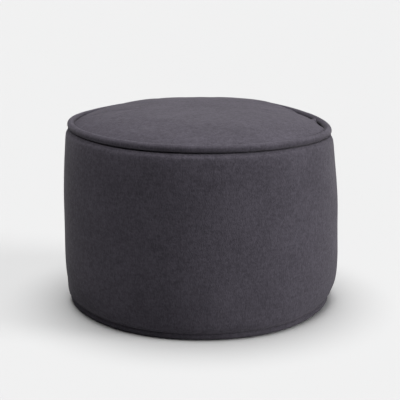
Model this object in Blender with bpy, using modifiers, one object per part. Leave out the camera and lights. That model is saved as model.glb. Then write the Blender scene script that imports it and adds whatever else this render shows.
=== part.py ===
# Bean bag footstool: a filled round body closed by a crowned top panel and a flat base panel,
# with a thick piping sewn into the top seam and another into the base seam.
# Metres, +Z up, standing on z = 0, front towards -Y, right side towards +X.
import math

import bpy
from mathutils import Matrix

# Driving sizes
BELLY_RADIUS = 0.2500      # fullest part of the side
BELLY_HEIGHT = 0.1500      # height of the fullest part
SEAM_RADIUS = 0.2350       # circle along the middle of the top piping
SEAM_HEIGHT = 0.3280       # floor to the middle of the top piping
HEM_RADIUS = 0.2300        # circle along the middle of the base piping
PIPING_RADIUS = 0.0065     # wrapped cord, 13 mm thick
CROWN = 0.0235             # rise of the top panel above its own edge
CROWN_POWER = 4.2          # a flat middle that turns down towards the seam
CLOTH = 0.0025             # upholstery cloth of the two panels
GAP = 0.0003               # air left between neighbouring pieces

# Outline of the side
SHOULDER = 0.0036          # how far the side rolls out just under the top piping
SHOULDER_DEPTH = 0.0060    # and how soon
UPPER_POWER = 4.0          # how late the side draws in towards the top seam
LOWER_POWER = 4.5          # how late it draws in towards the base seam
SIDE_LEVELS = (0.3190, 0.3140, 0.3050, 0.2900, 0.2650, 0.2300, 0.1700, 0.1150, 0.0750, 0.0480, 0.0300, 0.0180)
PANEL_STATIONS = (0.0, 0.0500, 0.0950, 0.1300, 0.1600, 0.1850, 0.2050, 0.2180)

# Where each neighbour meets a piping, as an angle round the cord from its outermost line
PANEL_TOUCH = 150
SHOULDER_TOUCH = -55
HEM_TOUCH = 25
TOP_HOLLOW = (180, 210, 240, 270, 300, SHOULDER_TOUCH + 360)
BASE_HOLLOW = (HEM_TOUCH, 60, 90, 120, 150, 180, 210)

# Fineness
TURNS = 64                 # slices round every piece
PIPING_SIDES = 12          # facets round the cord

# How the filling has settled: one row for each direction, counted from the right side (+X)
# towards the back (+Y).  Degrees and millimetres.
#   lift      the top seam moved up
#   seam      the top seam moved out
#   shoulder  the side moved out 40 mm under the seam
#   belly     the side moved out at the middle
#   low       the side moved out 50 mm above the floor
#   hem       the base seam moved out
#   slack     the top panel sunk beside its piping
SETTLED_COLUMNS = ("turn", "lift", "seam", "shoulder", "belly", "low", "hem", "slack")
SETTLED = (
    (0, -6.0, -6.5, -6.5, 0.0, 3.5, 0.0, 1.0),
    (30, -7.0, -5.5, -4.5, 0.5, 2.0, -1.0, 3.0),
    (60, -2.0, -3.0, -1.5, 0.5, 0.5, 0.0, 2.0),
    (90, 1.0, -1.5, 0.0, 0.0, 0.0, 0.0, 0.5),
    (120, 0.5, -3.0, -0.5, -0.5, 0.0, 1.0, 0.0),
    (150, 1.0, -3.0, -1.5, 0.0, 0.5, 2.0, 0.5),
    (180, 3.0, -1.5, -0.5, -0.5, 0.5, 5.5, 1.0),
    (210, 3.5, 0.0, 0.5, 0.0, 0.0, -1.5, 0.5),
    (240, 2.0, 0.0, 0.0, 0.5, 0.5, 1.5, 0.0),
    (270, 1.0, 0.0, 0.0, 0.0, 1.5, 4.5, 0.0),
    (300, -0.5, -0.5, -0.5, 0.5, 1.5, 5.0, 0.0),
    (330, -3.5, -2.0, -2.0, 0.5, 0.5, -2.5, 0.5),
)
# Heights at which the outward columns act in full
ACTS_AT = (
    ("hem", 0.0150),
    ("low", 0.0500),
    ("belly", 0.1700),
    ("shoulder", 0.2850),
    ("seam", 0.3150),
)
FLAT_BASE = 0.0200         # nothing rises below this height
LEVEL_TOP = 0.3080         # everything rises in full above this height
SLACK_INNER = 0.1500       # the panel starts to sink at this distance from the middle
SLACK_DEEPEST = 0.2100     # and is lowest here


def ease(value, start, end):
    share = min(1.0, max(0.0, (value - start) / (end - start)))
    return share * share * (3.0 - 2.0 * share)


def settled(turn, column):
    # Smooth closed curve through one column of the table, in metres.
    place = SETTLED_COLUMNS.index(column)
    count = len(SETTLED)
    steps = turn * count / 360.0
    first = int(steps)
    share = steps - first
    before, start, end, after = (SETTLED[(first + k) % count][place] for k in (-1, 0, 1, 2))
    square = share ** 2
    cube = share ** 3
    value = start * (2 * cube - 3 * square + 1) + end * (3 * square - 2 * cube)
    value += (end - before) / 2 * (cube - 2 * square + share) + (after - start) / 2 * (cube - square)
    return value / 1000.0


def outward(turn, height):
    # Outward movement of the side, eased from one height of the table to the next.
    column, level = ACTS_AT[0]
    shift = settled(turn, column)
    for upper_column, upper_level in ACTS_AT[1:]:
        shift += (settled(turn, upper_column) - settled(turn, column)) * ease(height, level, upper_level)
        column, level = upper_column, upper_level
    return shift


def settle(mesh):
    # One movement shared by every piece, so that neighbours keep their distance.
    for vertex in mesh.vertices:
        x, y, z = vertex.co
        radius = math.hypot(x, y)
        if radius < GAP:
            continue
        turn = math.degrees(math.atan2(y, x)) % 360.0
        reach = min(1.0, radius / SEAM_RADIUS) ** 2
        stretch = 1.0 + outward(turn, z) * reach / radius
        rise = settled(turn, "lift") * reach * ease(z, FLAT_BASE, LEVEL_TOP)
        beside = ease(radius, SLACK_INNER, SLACK_DEEPEST) * ease(radius, panel_edge() + GAP, SLACK_DEEPEST)
        rise -= settled(turn, "slack") * beside * ease(z, BELLY_HEIGHT, LEVEL_TOP)
        vertex.co = (x * stretch, y * stretch, z + rise)


def round_piping(centre_radius, centre_height, angles):
    # Points on the hollow that a piping lies in.
    hollow = PIPING_RADIUS + GAP
    turned = [math.radians(angle) for angle in angles]
    return [(centre_radius + hollow * math.cos(a), centre_height + hollow * math.sin(a)) for a in turned]


def panel_edge():
    return round_piping(SEAM_RADIUS, SEAM_HEIGHT, (PANEL_TOUCH,))[0][0]


def top_level(radius):
    # Height of the top panel's upper face.
    edge, level = round_piping(SEAM_RADIUS, SEAM_HEIGHT, (PANEL_TOUCH,))[0]
    return level + CROWN * (1.0 - (radius / edge) ** CROWN_POWER)


def side_radius(height):
    # Outline of the side between the two pipings.
    upper_radius, upper_height = round_piping(SEAM_RADIUS, SEAM_HEIGHT, (SHOULDER_TOUCH,))[0]
    lower_radius, lower_height = round_piping(HEM_RADIUS, PIPING_RADIUS, (HEM_TOUCH,))[0]
    if height < BELLY_HEIGHT:
        share = (BELLY_HEIGHT - height) / (BELLY_HEIGHT - lower_height)
        return BELLY_RADIUS - (BELLY_RADIUS - lower_radius) * share ** LOWER_POWER
    share = (height - BELLY_HEIGHT) / (upper_height - BELLY_HEIGHT)
    roll = SHOULDER * math.exp((height - upper_height) / SHOULDER_DEPTH)
    return BELLY_RADIUS - (BELLY_RADIUS - upper_radius - SHOULDER) * share ** UPPER_POWER - roll


def body_profile():
    points = [(radius, top_level(radius) - CLOTH - GAP) for radius in PANEL_STATIONS]
    points += round_piping(SEAM_RADIUS, SEAM_HEIGHT, TOP_HOLLOW)
    points += [(side_radius(height), height) for height in SIDE_LEVELS]
    points += round_piping(HEM_RADIUS, PIPING_RADIUS, BASE_HOLLOW)
    points.append((HEM_RADIUS - PIPING_RADIUS, CLOTH + GAP))
    points.append((0.0, CLOTH + GAP))
    return points


def top_panel_profile():
    edge, level = round_piping(SEAM_RADIUS, SEAM_HEIGHT, (PANEL_TOUCH,))[0]
    points = [(radius, top_level(radius)) for radius in PANEL_STATIONS]
    points.append((edge, level))
    points.append((SEAM_RADIUS - PIPING_RADIUS - GAP, level - CLOTH))
    points += [(radius, top_level(radius) - CLOTH) for radius in reversed(PANEL_STATIONS)]
    return points


def base_panel_profile():
    edge = HEM_RADIUS - PIPING_RADIUS - GAP
    return [(0.0, CLOTH), (edge / 2, CLOTH), (edge, CLOTH), (edge, 0.0), (edge / 2, 0.0), (0.0, 0.0)]


def cloth_material(name, colour):
    made = bpy.data.materials.new(name)
    made.use_nodes = True
    shader = made.node_tree.nodes["Principled BSDF"]
    shader.inputs["Base Color"].default_value = (*colour, 1.0)
    shader.inputs["Roughness"].default_value = 0.95
    shader.inputs["Metallic"].default_value = 0.0
    shader.inputs["Sheen Weight"].default_value = 0.4
    return made


def finish(piece, cloth):
    settle(piece.data)
    piece.data.materials.clear()
    piece.data.materials.append(cloth)
    piece.data.shade_smooth()


def add_turned(name, profile, cloth):
    # A profile in the XZ plane, turned once round the upright axis.
    outline = bpy.data.meshes.new(name + "_profile")
    corners = [(radius, 0.0, height) for radius, height in profile]
    outline.from_pydata(corners, [(k, k + 1) for k in range(len(corners) - 1)], [])
    drawn = bpy.data.objects.new(name + "_profile", outline)
    helpers.objects.link(drawn)
    drawn.hide_render = True
    drawn.display_type = "WIRE"
    screw = drawn.modifiers.new("turn", "SCREW")
    screw.axis = "Z"
    screw.angle = math.tau
    screw.steps = TURNS
    screw.render_steps = TURNS
    screw.use_merge_vertices = True
    screw.merge_threshold = 0.00005
    bpy.context.view_layer.update()
    solid = bpy.data.meshes.new_from_object(drawn.evaluated_get(bpy.context.evaluated_depsgraph_get()))
    solid.name = name
    piece = bpy.data.objects.new(name, solid)
    parts.objects.link(piece)
    finish(piece, cloth)


def add_piping(name, centre_radius, centre_height, cloth):
    # Cord wrapped in a bias strip and closed into a ring.
    bpy.ops.mesh.primitive_torus_add(
        major_radius=centre_radius, minor_radius=PIPING_RADIUS,
        major_segments=TURNS, minor_segments=PIPING_SIDES)
    piece = bpy.context.active_object
    piece.name = name
    piece.data.name = name
    piece.data.transform(Matrix.Translation((0.0, 0.0, centre_height)))
    for holder in list(piece.users_collection):
        holder.objects.unlink(piece)
    parts.objects.link(piece)
    finish(piece, cloth)


def centre_over_origin():
    # The settled stool is moved so that the middle of its box stands over the origin.
    corners = [vertex.co for piece in parts.objects for vertex in piece.data.vertices]
    middle_x = (min(c.x for c in corners) + max(c.x for c in corners)) / 2
    middle_y = (min(c.y for c in corners) + max(c.y for c in corners)) / 2
    for piece in parts.objects:
        piece.data.transform(Matrix.Translation((-middle_x, -middle_y, 0.0)))


for leftover in list(bpy.data.objects):
    bpy.data.objects.remove(leftover)

parts = bpy.data.collections.new("bean_bag_footstool")
helpers = bpy.data.collections.new("profiles")
bpy.context.scene.collection.children.link(parts)
bpy.context.scene.collection.children.link(helpers)
helpers.hide_render = True

cover_cloth = cloth_material("cover_cloth", (0.085, 0.079, 0.096))
piping_cloth = cloth_material("piping_cloth", (0.095, 0.088, 0.106))

add_turned("side_panel", body_profile(), cover_cloth)
add_turned("top_panel", top_panel_profile(), cover_cloth)
add_turned("base_panel", base_panel_profile(), cover_cloth)
add_piping("top_piping", SEAM_RADIUS, SEAM_HEIGHT, piping_cloth)
add_piping("base_piping", HEM_RADIUS, PIPING_RADIUS, piping_cloth)
centre_over_origin()
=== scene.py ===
# Bean bag footstool: fine cloth pieces, velour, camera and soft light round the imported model.
import math

import bmesh
import bpy
import numpy as np
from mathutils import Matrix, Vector, noise


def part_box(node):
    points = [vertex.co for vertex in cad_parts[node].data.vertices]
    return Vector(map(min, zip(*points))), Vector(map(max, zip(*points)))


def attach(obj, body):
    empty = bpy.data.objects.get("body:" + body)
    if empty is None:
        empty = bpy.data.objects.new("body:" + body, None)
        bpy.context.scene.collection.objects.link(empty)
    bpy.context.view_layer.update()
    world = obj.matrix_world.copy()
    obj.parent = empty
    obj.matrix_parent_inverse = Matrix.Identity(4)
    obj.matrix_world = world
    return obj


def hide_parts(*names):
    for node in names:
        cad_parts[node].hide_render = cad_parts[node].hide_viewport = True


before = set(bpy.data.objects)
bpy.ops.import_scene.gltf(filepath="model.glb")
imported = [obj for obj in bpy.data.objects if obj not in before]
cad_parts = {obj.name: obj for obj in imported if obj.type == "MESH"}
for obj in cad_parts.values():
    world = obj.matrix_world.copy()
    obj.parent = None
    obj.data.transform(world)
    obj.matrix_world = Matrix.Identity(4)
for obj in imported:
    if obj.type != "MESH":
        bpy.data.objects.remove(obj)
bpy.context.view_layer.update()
scene = bpy.context.scene

print("footstool: camera")
cameraView = {
    "distance": 2.20,      # in front of the stool
    "height": 0.738,
    "aimHeight": 0.1846,
    "aside": -0.0027,
    "lens": 111.14,
    "sensor": 36.0,
}


def addCamera():
    lensData = bpy.data.cameras.new("studioCamera")
    lensData.lens = cameraView["lens"]
    lensData.sensor_width = cameraView["sensor"]
    lensData.clip_end = 60
    camera = bpy.data.objects.new("studioCamera", lensData)
    scene.collection.objects.link(camera)
    camera.location = (cameraView["aside"], -cameraView["distance"], cameraView["height"])
    aim = Vector((cameraView["aside"], 0, cameraView["aimHeight"]))
    camera.rotation_euler = (aim - camera.location).to_track_quat("-Z", "Y").to_euler()
    scene.camera = camera


addCamera()

# The stool's form is turned first, and then settled as its filling lies.
form = {
    "bellyRadius": 0.2500,
    "bellyHeight": 0.1500,
    "seamRadius": 0.2350,       # middle of the top piping
    "seamHeight": 0.3280,
    "hemRadius": 0.2300,        # middle of the base piping
    "pipingRadius": 0.0065,
    "gap": 0.0003,
    "cloth": 0.0025,
    "crown": 0.0218,
    "crownPower": 5.4,
    "shoulder": 0.0036,         # roll of the side just under the piping
    "shoulderDepth": 0.0060,
    "upperPower": 4.0,
    "lowerPower": 4.5,
}
# Millimetres, every 30 degrees from the right side round through the back.
settling = {
    "lift": (-8.3, -6.6, 0.2, 1.0, 0.2, -0.8, 2.6, 3.5, 2.0, 1.0, -0.5, -3.5),
    "seam": (-6.5, -5.5, -3.0, -1.5, -3.0, -3.0, -1.5, 0.0, 0.0, 0.0, -0.5, -2.0),
    "shoulder": (-6.3, -3.8, -1.5, 0.0, -0.5, -1.5, -2.6, 0.5, 0.0, 0.0, -0.5, -2.0),
    "belly": (0.0, 0.5, 0.5, 0.0, -0.5, 0.0, -0.5, 0.0, 0.5, 0.0, 0.5, 0.5),
    "low": (3.5, 2.0, 0.5, 0.0, 0.0, 0.5, 0.5, 0.0, 0.5, 1.5, 1.5, 0.5),
    "hem": (0.0, -1.0, 0.0, 0.0, 1.0, 2.0, 5.5, -1.5, 1.5, 4.5, 5.0, -2.5),
    "slack": (1.0, 3.0, 2.0, 0.5, 0.0, 0.5, 1.0, 0.5, 0.0, 0.0, 0.0, 0.5),
}
actsAt = (("hem", 0.015), ("low", 0.050), ("belly", 0.170), ("shoulder", 0.285), ("seam", 0.315))
risesFrom, risesFully = 0.020, 0.308
slackFrom, slackDeepest = 0.150, 0.210


def ease(value, start, end):
    share = np.clip((value - start) / (end - start), 0, 1)
    return share * share * (3 - 2 * share)


def settledBy(column, turn):
    # smooth closed curve through one column, in metres; turn in degrees
    values = np.array(settling[column]) / 1000
    steps = (np.asarray(turn) % 360) * len(values) / 360
    first = np.floor(steps).astype(int)
    share = steps - first
    before, start, end, after = (values[(first + k) % len(values)] for k in (-1, 0, 1, 2))
    square, cube = share ** 2, share ** 3
    made = start * (2 * cube - 3 * square + 1) + end * (3 * square - 2 * cube)
    leaving, arriving = (end - before) / 2, (after - start) / 2
    return made + leaving * (cube - 2 * square + share) + arriving * (cube - square)


def outward(turn, height):
    column, level = actsAt[0]
    shift = settledBy(column, turn)
    for upperColumn, upperLevel in actsAt[1:]:
        change = settledBy(upperColumn, turn) - settledBy(column, turn)
        shift = shift + change * ease(height, level, upperLevel)
        column, level = upperColumn, upperLevel
    return shift


def settle(points):
    radius = np.maximum(np.hypot(points[:, 0], points[:, 1]), 1e-6)
    turn = np.degrees(np.arctan2(points[:, 1], points[:, 0])) % 360
    reach = np.minimum(1, radius / form["seamRadius"]) ** 2
    stretch = 1 + outward(turn, points[:, 2]) * reach / radius
    rise = settledBy("lift", turn) * reach * ease(points[:, 2], risesFrom, risesFully)
    beside = ease(radius, slackFrom, slackDeepest) * ease(radius, panelEdge() + form["gap"], slackDeepest)
    rise = rise - settledBy("slack", turn) * beside * ease(points[:, 2], form["bellyHeight"], risesFully)
    return np.column_stack((points[:, 0] * stretch, points[:, 1] * stretch, points[:, 2] + rise))


def onHollow(centreRadius, centreHeight, angle):
    # a point on the hollow that a piping lies in
    hollow = form["pipingRadius"] + form["gap"]
    bend = math.radians(angle)
    return centreRadius + hollow * math.cos(bend), centreHeight + hollow * math.sin(bend)


def onTopHollow(angle):
    return onHollow(form["seamRadius"], form["seamHeight"], angle)


def onBaseHollow(angle):
    return onHollow(form["hemRadius"], form["pipingRadius"], angle)


def panelEdge():
    return onTopHollow(150)[0]


def topLevel(radius):
    edge, level = onTopHollow(150)
    return level + form["crown"] * (1 - (radius / edge) ** form["crownPower"])


def sideRadius(height):
    upperRadius, upperHeight = onTopHollow(-55)
    lowerRadius, lowerHeight = onBaseHollow(25)
    belly = form["bellyRadius"]
    below = np.clip((form["bellyHeight"] - height) / (form["bellyHeight"] - lowerHeight), 0, 1)
    above = np.clip((height - form["bellyHeight"]) / (upperHeight - form["bellyHeight"]), 0, 1)
    roll = form["shoulder"] * np.exp((height - upperHeight) / form["shoulderDepth"])
    lower = belly - (belly - lowerRadius) * below ** form["lowerPower"]
    upper = belly - (belly - upperRadius - form["shoulder"]) * above ** form["upperPower"] - roll
    return np.where(height < form["bellyHeight"], lower, upper)


def pipingCourse(centreRadius, centreHeight, turn):
    # settled middle line of a piping
    bend = np.radians(turn)
    level = np.full(len(turn), centreHeight)
    return settle(np.column_stack((centreRadius * np.cos(bend), centreRadius * np.sin(bend), level)))


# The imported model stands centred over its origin, so the settled form is moved there.
wholeTurn = np.arange(0, 360, 1.0)
courseNow = pipingCourse(form["seamRadius"], form["seamHeight"], wholeTurn)
low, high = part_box("top_piping")
middleNow = (courseNow.min(axis=0) + courseNow.max(axis=0)) / 2
centring = np.array([(low[axis] + high[axis]) / 2 - middleNow[axis] for axis in (0, 1)] + [0])
print("footstool: settled form moved by", np.round(centring, 4))


def addPiece(name, points, faces, smooth=True):
    mesh = bpy.data.meshes.new(name)
    mesh.from_pydata([tuple(p) for p in points], [], faces)
    mesh.validate()
    if smooth:
        mesh.shade_smooth()
    piece = bpy.data.objects.new(name, mesh)
    scene.collection.objects.link(piece)
    return piece


def pointsOf(piece):
    flat = np.empty(len(piece.data.vertices) * 3)
    piece.data.vertices.foreach_get("co", flat)
    return flat.reshape(-1, 3)


def normalsOf(piece):
    flat = np.empty(len(piece.data.vertices) * 3)
    piece.data.vertices.foreach_get("normal", flat)
    return flat.reshape(-1, 3)


def movePoints(piece, points):
    piece.data.vertices.foreach_set("co", points.reshape(-1))
    piece.data.update()


def applyModifiers(piece):
    bpy.context.view_layer.update()
    made = bpy.data.meshes.new_from_object(piece.evaluated_get(bpy.context.evaluated_depsgraph_get()))
    made.name = piece.name
    piece.modifiers.clear()
    piece.data = made
    made.shade_smooth()


def subdivided(piece):
    finer = piece.modifiers.new("finer", "SUBSURF")
    finer.levels = finer.render_levels = 1
    applyModifiers(piece)


def inflate(piece, sewn, cloth):
    # Blender's cloth under the filling's pressure, held along its seams
    group = piece.vertex_groups.new(name="sewn")
    for weight in np.unique(sewn):
        if weight > 0:
            group.add([int(k) for k in np.flatnonzero(sewn == weight)], float(weight), "REPLACE")
    before = pointsOf(piece)
    modifier = piece.modifiers.new("filling", "CLOTH")
    settings = modifier.settings
    settings.quality = cloth["quality"]
    settings.mass = cloth["mass"]
    settings.tension_stiffness = settings.compression_stiffness = cloth["stiffness"]
    settings.shear_stiffness = cloth["stiffness"] / 2
    settings.bending_stiffness = cloth["bending"]
    settings.shrink_min = -cloth["ease"]
    settings.use_pressure = True
    settings.uniform_pressure_force = cloth["pressure"]
    settings.vertex_group_mass = "sewn"
    settings.pin_stiffness = 1
    settings.effector_weights.gravity = 0
    modifier.collision_settings.use_collision = False
    modifier.collision_settings.use_self_collision = False
    modifier.point_cache.frame_start = 1
    modifier.point_cache.frame_end = cloth["frames"]
    for step in range(1, cloth["frames"] + 1):
        scene.frame_set(step)
    applyModifiers(piece)
    scene.frame_set(1)
    piece.vertex_groups.clear()
    moved = pointsOf(piece) - before
    length = np.maximum(np.linalg.norm(moved, axis=1), 1e-9)
    kept = np.minimum(1, cloth["cap"] / length)
    movePoints(piece, before + moved * kept[:, None])
    reached, allowed = length.max() * 1000, cloth["cap"] * 1000
    print("   ", piece.name, "moved by up to %.1f mm, kept to %.1f mm" % (reached, allowed))


def perlin(points, size, seed=0.0):
    return np.array([noise.noise(Vector(p) / size + Vector((seed, 0, -seed))) for p in points])


print("footstool: side panel")
sidePanel = {
    "around": 288,
    "levels": 54,
    "crowding": 0.86,       # how much the levels crowd together at the seams
    "sewnWidth": 0.003,
    "looseWidth": 0.004,
    "lip": 0.0055,          # the strip comes out this far below the piping's middle
    "baseLip": 0.0095,
    "swell": 0.0012,        # the strip starts this much inside its final place
    "wave": 0.0006,         # broad unevenness of the filling
    "waveSize": 0.085,
    "pucker": 0.00045,      # gathers beside the seams
    "puckerFade": 0.012,
    "roll": 0.0030,         # fullness just under the top piping, most at the front
    "rollStart": 0.0035,
    "rollFull": 0.010,
    "rollEnd": 0.120,
    "rollTurn": 262.0,
    "rollReach": 50.0,
    "crease": 0.0027,       # how deep the cover is drawn in under the top piping
    "softTurn": 195.0,      # the crease is hardly drawn in here, at the left
    "softReach": 24.0,
    "creaseAt": 0.0007,
    "creaseWidth": 0.0010,
    "hemCrease": 0.0028,    # and in above the base piping
    "hemFold": 0.0055,      # deeper where the cover hangs over it, at the front right
    "hemLevel": 0.0106,
    "hemWidth": 0.0017,
    "foldTurn": 311.0,
    "foldReach": 25.0,
    "seamTurn": 97.0,       # closing seam of the strip, at the back
    "seamDepth": 0.0016,
    "seamWidth": 0.0026,
    "ridgeAt": 0.006,
    "ridgeWidth": 0.004,
}
sideCloth = {
    "quality": 6,
    "mass": 0.25,
    "stiffness": 18,
    "bending": 0.6,
    "ease": 0.006,
    "pressure": 4,
    "frames": 20,
    "cap": 0.005,           # what is kept of the cloth's movement, at most
}
# Radius of each ring under the top panel, and how far below it the ring is kept.
underPanel = (
    (0.03, 0), (0.07, 0), (0.11, 0), (0.15, 0.002), (0.185, 0.008), (0.205, 0.014), (0.218, 0.016))
underBase = (0.222, 0.19, 0.13, 0.06)
topHollow = (215, 235, 255, 275, 295)
baseHollow = (50, 75, 100, 130, 160, 190, 210)


def sideProfile():
    # nominal outline from the middle of the top to the middle of the underside, with what is sewn fast
    upper, lower = onTopHollow(-55)[1], onBaseHollow(25)[1]
    points, sewn = [], []
    for radius, below in underPanel:
        points.append((radius, topLevel(radius) - form["cloth"] - form["gap"] - below))
        sewn.append(1.0)
    for angle in topHollow:
        points.append(onTopHollow(angle))
        sewn.append(1.0)
    depth = upper - lower
    for share in np.linspace(0, 1, sidePanel["levels"]):
        even = share - math.sin(2 * math.pi * share) / (2 * math.pi) * sidePanel["crowding"]
        height = upper - depth * even
        points.append((float(sideRadius(height)), height))
        nearest = min(upper - height, height - lower)
        loose = nearest - sidePanel["sewnWidth"]
        sewn.append(1.0 if loose < 0 else round(0.6 * math.exp(-loose / sidePanel["looseWidth"]), 2))
    for angle in baseHollow:
        points.append(onBaseHollow(angle))
        sewn.append(1.0)
    for radius in underBase:
        points.append((radius, form["cloth"] + form["gap"]))
        sewn.append(1.0)
    return points, sewn


def turnedMesh(profile, around):
    # rings of quads, still open in the middle of the top and of the underside
    turn = np.arange(around) * 2 * math.pi / around
    points = [
        (radius * math.cos(a), radius * math.sin(a), height) for radius, height in profile for a in turn]
    faces = []
    for ring in range(len(profile) - 1):
        start = ring * around
        for k in range(around):
            after = (k + 1) % around
            faces.append((start + k, start + around + k, start + around + after, start + after))
    return settle(np.array(points)) + centring, faces


def closeHoles(piece):
    work = bmesh.new()
    work.from_mesh(piece.data)
    bmesh.ops.holes_fill(work, edges=[edge for edge in work.edges if edge.is_boundary], sides=0)
    work.to_mesh(piece.data)
    work.free()


def gathers(turn, strength=1.0):
    # uneven little folds round a seam, from -1 to 1
    waves = ((61, 0.3, 0.8), (83, 1.7, 0.7), (47, 2.9, 0.6), (109, 4.1, 0.5), (29, 5.3, 0.5))
    bend = np.radians(turn)
    made = sum(height * np.sin(count * bend + phase) for count, phase, height in waves)
    calm = 0.55 + 0.45 * np.sin(3 * bend + 0.6) * np.sin(5 * bend + 2.0)
    return made / 2.2 * calm * strength


def addSidePanel():
    profile, sewnRings = sideProfile()
    around = sidePanel["around"]
    points, faces = turnedMesh(profile, around)
    piece = addPiece("sidePanel", points, faces)
    sewn = np.repeat(sewnRings, around)
    movePoints(piece, pointsOf(piece) - normalsOf(piece) * (sidePanel["swell"] * (1 - sewn))[:, None])
    inflate(piece, sewn, sideCloth)
    subdivided(piece)
    points, normals = pointsOf(piece), normalsOf(piece)
    free = points - centring
    turn = np.degrees(np.arctan2(free[:, 1], free[:, 0])) % 360
    upper = pipingCourse(form["seamRadius"], form["seamHeight"], turn)[:, 2]
    fromTop = np.maximum(upper - sidePanel["lip"] - points[:, 2], 0)
    fromBase = np.maximum(points[:, 2] - sidePanel["baseLip"], 0)
    onSide = ease(fromTop, 0, 0.004) * ease(fromBase, 0, 0.004)
    calm = ease(fromTop, 0, 0.03) * ease(fromBase, 0, 0.03)
    shift = perlin(points, sidePanel["waveSize"]) * sidePanel["wave"] * calm
    fade = np.exp(-fromTop / sidePanel["puckerFade"]) + np.exp(-fromBase / sidePanel["puckerFade"])
    shift += gathers(turn) * sidePanel["pucker"] * fade * onSide
    front = np.exp(-((turn - sidePanel["rollTurn"]) / sidePanel["rollReach"]) ** 2)
    roll = 1 - np.exp(-fromTop / sidePanel["rollStart"])
    roll *= 1 - ease(fromTop, sidePanel["rollFull"], sidePanel["rollEnd"])
    shift += sidePanel["roll"] * front * roll
    across = np.radians(turn - sidePanel["seamTurn"]) * form["bellyRadius"]
    groove = np.exp(-(across / sidePanel["seamWidth"]) ** 2)
    ridge = np.exp(-((np.abs(across) - sidePanel["ridgeAt"]) / sidePanel["ridgeWidth"]) ** 2)
    shift += (0.35 * ridge - groove) * sidePanel["seamDepth"] * onSide
    points = points + normals * (shift * (fromTop > 0))[:, None]
    radius = np.hypot(free[:, 0], free[:, 1])
    soft = np.exp(-((turn - sidePanel["softTurn"]) / sidePanel["softReach"]) ** 2)
    held = 0.12 + 0.88 * front - 0.6 * soft
    below = upper - sidePanel["lip"] - points[:, 2] - sidePanel["creaseAt"]
    drawnIn = held * np.exp(-(below / sidePanel["creaseWidth"]) ** 2)
    points[:, 2] -= sidePanel["crease"] * drawnIn * ease(radius, form["hemRadius"], form["seamRadius"])
    level = sidePanel["hemLevel"]
    folded = np.exp(-((turn - sidePanel["foldTurn"]) / sidePanel["foldReach"]) ** 2)
    depth = sidePanel["hemCrease"] + folded * sidePanel["hemFold"]
    tucked = np.exp(-((points[:, 2] - level) / sidePanel["hemWidth"]) ** 2) * depth
    points[:, :2] -= free[:, :2] / radius[:, None] * tucked[:, None]
    movePoints(piece, points)
    closeHoles(piece)
    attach(piece, "root")
    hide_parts("side_panel")
    return piece


sidePiece = addSidePanel()

print("footstool: top panel and base panel")
topPanel = {
    "rings": 46,
    "crowding": 1.25,       # the rings crowd together at the piping
    "thickness": 0.0020,
    "wave": 0.0009,
    "waveSize": 0.095,
    "pucker": 0.0006,
    "puckerFade": 0.010,
    # turn, half width, depth, reach from the piping
    "pockets": (
        (4, 8, 0.0085, 0.022), (23, 8, 0.0135, 0.032), (172, 14, 0.0018, 0.017), (150, 18, 0.0016, 0.017),
        (4, 7, 0.0065, 0.0045), (25, 8, 0.0075, 0.0050), (172, 13, 0.0030, 0.0045)),
    # turn, from the middle, size, height
    "mounds": ((44, 0.165, 0.042, 0.0028), (128, 0.165, 0.050, 0.0006), (15, 0.222, 0.0068, 0.0110)),
    "full": 0.0018,         # the panel meets its piping without a groove at the front
    "fullTurn": 262.0,
    "fullReach": 58.0,
    "fullFade": 0.012,
}
topCloth = {
    "quality": 6,
    "mass": 0.25,
    "stiffness": 25,
    "bending": 2.0,
    "ease": 0.0,
    "pressure": 1,
    "frames": 20,
    "cap": 0.0012,
}
basePanel = {
    "rings": 24,
    "crowding": 1.0,
    "thickness": 0.0024,
}


def discMesh(rings, edge, crowding):
    # a square grid drawn out to a circle, so that the disc has rings but no pole
    marks = np.linspace(-1, 1, 2 * rings + 1)
    across, along = np.meshgrid(marks, marks, indexing="ij")
    share = np.maximum(np.abs(across), np.abs(along))
    steady = np.abs(across) >= np.abs(along)
    ratio = np.divide(np.where(steady, along, across), np.where(steady, across, along),
                      out=np.zeros_like(across), where=share > 0)
    bend = np.where(steady, ratio * math.pi / 4, math.pi / 2 - ratio * math.pi / 4)
    bend = np.where((steady & (across < 0)) | (~steady & (along < 0)), bend + math.pi, bend)
    radius = edge * (1 - (1 - share) ** crowding) if crowding > 1 else edge * share
    points = np.column_stack(((radius * np.cos(bend)).ravel(), (radius * np.sin(bend)).ravel()))
    side = 2 * rings + 1
    faces = [(a * side + b, (a + 1) * side + b, (a + 1) * side + b + 1, a * side + b + 1)
             for a in range(side - 1) for b in range(side - 1)]
    return points, radius.ravel(), faces


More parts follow.
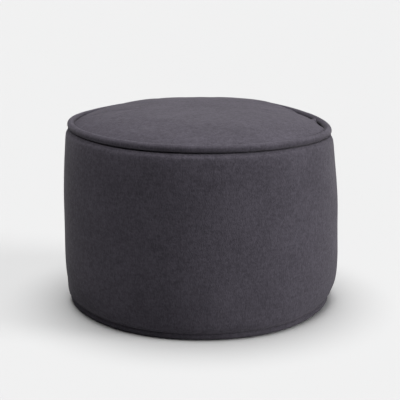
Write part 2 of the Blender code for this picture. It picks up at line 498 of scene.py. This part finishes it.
def addTopPanel():
    edge, level = onTopHollow(150)
    flat, radius, faces = discMesh(topPanel["rings"], edge, topPanel["crowding"])
    nominal = np.column_stack((flat, topLevel(radius)))
    piece = addPiece("topPanel", settle(nominal) + centring, faces)
    sewn = np.round(ease(radius, edge - 0.012, edge - 0.002), 2)
    inflate(piece, sewn, topCloth)
    subdivided(piece)
    points = pointsOf(piece)
    free = points - centring
    turn = np.degrees(np.arctan2(free[:, 1], free[:, 0])) % 360
    course = pipingCourse(form["seamRadius"], form["seamHeight"], turn)
    inside = np.hypot(course[:, 0], course[:, 1]) - np.hypot(free[:, 0], free[:, 1]) - form["pipingRadius"]
    shift = perlin(points, topPanel["waveSize"], 3.1) * topPanel["wave"] * ease(inside, 0, 0.05)
    nearPiping = np.exp(-inside / topPanel["puckerFade"]) * ease(inside, 0, 0.004)
    shift += gathers(turn + 40) * topPanel["pucker"] * nearPiping
    front = np.exp(-((turn - topPanel["fullTurn"]) / topPanel["fullReach"]) ** 2)
    shift += topPanel["full"] * front * np.exp(-np.maximum(inside, 0) / topPanel["fullFade"])
    for middle, out, size, height in topPanel["mounds"]:
        bend = math.radians(middle)
        away = np.hypot(free[:, 0] - out * math.cos(bend), free[:, 1] - out * math.sin(bend))
        shift += height * np.exp(-(away / size) ** 2) * ease(inside, -0.002, 0.004)
    for middle, halfWidth, depth, reach in topPanel["pockets"]:
        away = (turn - middle + 180) % 360 - 180
        shift -= depth * np.exp(-(away / halfWidth) ** 2) * np.exp(-np.maximum(inside, 0) / reach)
    points[:, 2] += shift
    movePoints(piece, points)
    shell = piece.modifiers.new("thickness", "SOLIDIFY")
    shell.thickness = topPanel["thickness"]
    shell.offset = -1
    applyModifiers(piece)
    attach(piece, "root")
    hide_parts("top_panel")
    return piece


def addBasePanel():
    edge = form["hemRadius"] - form["pipingRadius"] - form["gap"]
    flat, radius, faces = discMesh(basePanel["rings"], edge, basePanel["crowding"])
    nominal = np.column_stack((flat, np.full(len(flat), basePanel["thickness"])))
    piece = addPiece("basePanel", settle(nominal) + centring, faces)
    shell = piece.modifiers.new("thickness", "SOLIDIFY")
    shell.thickness = basePanel["thickness"]
    shell.offset = -1
    applyModifiers(piece)
    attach(piece, "root")
    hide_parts("base_panel")
    return piece


topPiece = addTopPanel()
basePiece = addBasePanel()

print("footstool: piping")
piping = {
    "around": 720,
    "sides": 20,
    "uneven": 0.00025,      # the cord shows a little through its cloth
    "crease": 0.00012,      # slanting creases of the bias strip
    "joinTurn": 84.0,       # where its ends overlap, at the back
    "joinLength": 0.014,
    "joinHeight": 0.0006,
    "cut": 0.0005,
    "cutWidth": 0.0012,
    "cutSlant": 0.006,
    "lumpSize": 0.022,
    "creasePitch": 0.0022,
}


def addPiping(name, node, centreRadius, centreHeight, seed):
    turn = np.arange(piping["around"]) * 360 / piping["around"]
    course = pipingCourse(centreRadius, centreHeight, turn)
    points = []
    for k, middle in enumerate(course):
        ahead, behind = course[(k + 1) % len(course)], course[k - 1]
        along = Vector(ahead - behind).normalized()
        out = along.cross(Vector((0, 0, 1))).normalized()
        up = out.cross(along).normalized()
        travelled = math.radians(turn[k]) * centreRadius
        distance = math.radians(turn[k] - piping["joinTurn"]) * centreRadius
        overlap = piping["joinHeight"] * math.exp(-(distance / piping["joinLength"]) ** 2)
        for side in range(piping["sides"]):
            bend = 2 * math.pi * side / piping["sides"]
            spot = Vector((math.cos(bend) * 0.8, math.sin(bend) * 0.8, 0))
            lump = noise.noise(Vector((travelled / piping["lumpSize"], spot.x + seed, spot.y)))
            fold = math.sin(travelled / piping["creasePitch"] + bend * 2 + 3 * lump) * max(0, lump)
            fromCut = distance - piping["cutSlant"] * math.sin(bend)
            cut = piping["cut"] * math.exp(-(fromCut / piping["cutWidth"]) ** 2)
            radius = form["pipingRadius"] + piping["uneven"] * lump + piping["crease"] * fold
            radius += overlap - cut
            points.append(Vector(middle) + out * (radius * math.cos(bend)) + up * (radius * math.sin(bend)))
    count, sides = len(course), piping["sides"]
    faces = []
    for k in range(count):
        for side in range(sides):
            nextSide = (side + 1) % sides
            here, there = k * sides, ((k + 1) % count) * sides
            faces.append((here + side, there + side, there + nextSide, here + nextSide))
    points = np.array([tuple(p) for p in points]) + centring
    points[:, 2] = np.maximum(points[:, 2], 0)
    piece = addPiece(name, points, faces)
    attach(piece, "root")
    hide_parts(node)
    return piece


topPipingPiece = addPiping("topPiping", "top_piping", form["seamRadius"], form["seamHeight"], 2.0)
basePipingPiece = addPiping("basePiping", "base_piping", form["hemRadius"], form["pipingRadius"], 9.0)

print("footstool: velour")
velour = {
    "colour": (0.0330, 0.0299, 0.0372, 1),
    "raised": (0.0540, 0.0490, 0.0606, 1),
    "mottleSize": 0.0042,
    "cloudSize": 0.07,
    "fibreSize": 0.0018,
    "napHeight": 0.00088,
    "roughness": 0.92,
    "sheen": 0.045,
    "sheenRoughness": 0.45,
    "sheenTint": (1.0, 0.98, 0.97, 1),
    "specular": 0.04,
    "upright": (1, 1, 0.45),        # mottles drawn out up and down
    "level": (0.45, 0.45, 1),       # and lying flat
    "shares": {"mottle": 0.50, "cloud": 0.16, "fibre": 0.34},
    "darkest": 0.40,
    "palest": 0.60,
    "smoother": -0.08,              # the paler nap is a little less rough
}


def napGroup():
    # short pile: soft clouds where it was brushed, small mottles, and single fibres
    group = bpy.data.node_groups.new("velourNap", "ShaderNodeTree")
    face = group.interface
    colour, number = "NodeSocketColor", "NodeSocketFloat"
    for name, kind, value in (
            ("Ground", colour, velour["colour"]),
            ("Raised", colour, velour["raised"]),
            ("Mottle size", number, velour["mottleSize"]),
            ("Cloud size", number, velour["cloudSize"]),
            ("Fibre size", number, velour["fibreSize"]),
            ("Roughness", number, velour["roughness"])):
        face.new_socket(name=name, in_out="INPUT", socket_type=kind).default_value = value
    for name, kind in (("Colour", colour), ("Roughness", number), ("Height", number)):
        face.new_socket(name=name, in_out="OUTPUT", socket_type=kind)
    nodes, link = group.nodes, group.links.new
    given, made = nodes.new("NodeGroupInput"), nodes.new("NodeGroupOutput")
    place = nodes.new("ShaderNodeTexCoord")

    def noiseOf(sizeSocket, detail, stretch=(1, 1, 1)):
        turned = nodes.new("ShaderNodeMapping")
        turned.inputs["Scale"].default_value = stretch
        link(place.outputs["Object"], turned.inputs["Vector"])
        perMetre = nodes.new("ShaderNodeMath")
        perMetre.operation = "DIVIDE"
        perMetre.inputs[0].default_value = 1
        link(given.outputs[sizeSocket], perMetre.inputs[1])
        texture = nodes.new("ShaderNodeTexNoise")
        texture.inputs["Detail"].default_value = detail
        link(turned.outputs["Vector"], texture.inputs["Vector"])
        link(perMetre.outputs["Value"], texture.inputs["Scale"])
        return texture.outputs["Fac"]

    def times(value, amount):
        step = nodes.new("ShaderNodeMath")
        step.operation = "MULTIPLY"
        step.inputs[1].default_value = amount
        link(value, step.inputs[0])
        return step.outputs["Value"]

    def plus(first, second):
        step = nodes.new("ShaderNodeMath")
        link(first, step.inputs[0])
        link(second, step.inputs[1])
        return step.outputs["Value"]

    upright = noiseOf("Mottle size", 3, velour["upright"])
    level = noiseOf("Mottle size", 3, velour["level"])
    mottle = times(plus(upright, level), 0.5)
    cloud = noiseOf("Cloud size", 2)
    fibre = noiseOf("Fibre size", 2, velour["upright"])
    shares = velour["shares"]
    blend = plus(times(mottle, shares["mottle"]), times(cloud, shares["cloud"]))
    blend = plus(blend, times(fibre, shares["fibre"]))
    spread = nodes.new("ShaderNodeMapRange")
    spread.inputs["From Min"].default_value = velour["darkest"]
    spread.inputs["From Max"].default_value = velour["palest"]
    link(blend, spread.inputs["Value"])
    tone = nodes.new("ShaderNodeMix")
    tone.data_type = "RGBA"
    link(spread.outputs["Result"], tone.inputs["Factor"])
    link(given.outputs["Ground"], tone.inputs["A"])
    link(given.outputs["Raised"], tone.inputs["B"])
    link(tone.outputs["Result"], made.inputs["Colour"])
    rough = plus(times(spread.outputs["Result"], velour["smoother"]), given.outputs["Roughness"])
    link(rough, made.inputs["Roughness"])
    link(plus(times(fibre, 0.5), times(mottle, 0.5)), made.inputs["Height"])
    return group


nap = napGroup()


def velourMaterial(name, finish):
    material = bpy.data.materials.new(name)
    material.use_nodes = True
    nodes, link = material.node_tree.nodes, material.node_tree.links.new
    shader = nodes["Principled BSDF"]
    shader.inputs["Specular IOR Level"].default_value = velour["specular"]
    shader.inputs["Sheen Weight"].default_value = velour["sheen"]
    shader.inputs["Sheen Roughness"].default_value = velour["sheenRoughness"]
    shader.inputs["Sheen Tint"].default_value = velour["sheenTint"]
    pile = nodes.new("ShaderNodeGroup")
    pile.node_tree = nap
    for socket, value in finish.items():
        pile.inputs[socket].default_value = value
    bump = nodes.new("ShaderNodeBump")
    bump.inputs["Strength"].default_value = 1.0
    bump.inputs["Distance"].default_value = velour["napHeight"]
    link(pile.outputs["Height"], bump.inputs["Height"])
    link(pile.outputs["Colour"], shader.inputs["Base Color"])
    link(pile.outputs["Roughness"], shader.inputs["Roughness"])
    link(bump.outputs["Normal"], shader.inputs["Normal"])
    return material


coverVelour = velourMaterial("coverVelour", {})
pipingVelour = velourMaterial("pipingVelour", {"Mottle size": 0.0035, "Cloud size": 0.045})
for piece in (sidePiece, topPiece, basePiece):
    piece.data.materials.clear()
    piece.data.materials.append(coverVelour)
for piece in (topPipingPiece, basePipingPiece):
    piece.data.materials.clear()
    piece.data.materials.append(pipingVelour)

print("footstool: floor and light")
studio = {
    "floorSize": 60.0,
    "floorColour": (0.365, 0.365, 0.365, 1),
    "horizon": (0.84, 0.84, 0.85, 1),
    "sky": (0.04, 0.037, 0.045, 1),
    "dimsFrom": 0.11,       # height in the sky, as a share of its radius
    "dimsTo": 0.24,
    "lampDistance": 3.0,
}
# turn and rise in degrees from the stool; spread is how wide the softbox looks from there
lamps = {
    "overhead": {"turn": 90, "rise": 88, "spread": 44, "power": 6.4},
    "rightSide": {"turn": -12, "rise": 14, "spread": 26, "power": 4.0},
}


def addFloor():
    bpy.ops.mesh.primitive_plane_add(size=studio["floorSize"])
    floor = bpy.context.active_object
    floor.name = "studioFloor"
    paint = bpy.data.materials.new("studioFloor")
    paint.use_nodes = True
    shader = paint.node_tree.nodes["Principled BSDF"]
    shader.inputs["Base Color"].default_value = studio["floorColour"]
    shader.inputs["Roughness"].default_value = 1
    shader.inputs["Specular IOR Level"].default_value = 0
    floor.data.materials.append(paint)


def addLamps():
    for name, lamp in lamps.items():
        light = bpy.data.lights.new(name, "SUN")
        light.angle = math.radians(lamp["spread"])
        light.energy = lamp["power"]
        holder = bpy.data.objects.new(name, light)
        scene.collection.objects.link(holder)
        turn, rise = math.radians(lamp["turn"]), math.radians(lamp["rise"])
        way = Vector((math.cos(turn) * math.cos(rise), math.sin(turn) * math.cos(rise), math.sin(rise)))
        holder.location = way * studio["lampDistance"]
        holder.rotation_euler = way.to_track_quat("Z", "Y").to_euler()


def addSky():
    # pale at the horizon and dim overhead
    sky = bpy.data.worlds.new("studio")
    sky.use_nodes = True
    nodes, link = sky.node_tree.nodes, sky.node_tree.links.new
    way = nodes.new("ShaderNodeTexCoord")
    parts = nodes.new("ShaderNodeSeparateXYZ")
    dimming = nodes.new("ShaderNodeMapRange")
    tone = nodes.new("ShaderNodeMix")
    dimming.interpolation_type = "SMOOTHSTEP"
    dimming.inputs["From Min"].default_value = studio["dimsFrom"]
    dimming.inputs["From Max"].default_value = studio["dimsTo"]
    tone.data_type = "RGBA"
    tone.inputs["A"].default_value = studio["horizon"]
    tone.inputs["B"].default_value = studio["sky"]
    link(way.outputs["Generated"], parts.inputs["Vector"])
    link(parts.outputs["Z"], dimming.inputs["Value"])
    link(dimming.outputs["Result"], tone.inputs["Factor"])
    link(tone.outputs["Result"], nodes["Background"].inputs["Color"])
    scene.world = sky


addFloor()
addLamps()
addSky()
scene.view_settings.view_transform = "Standard"
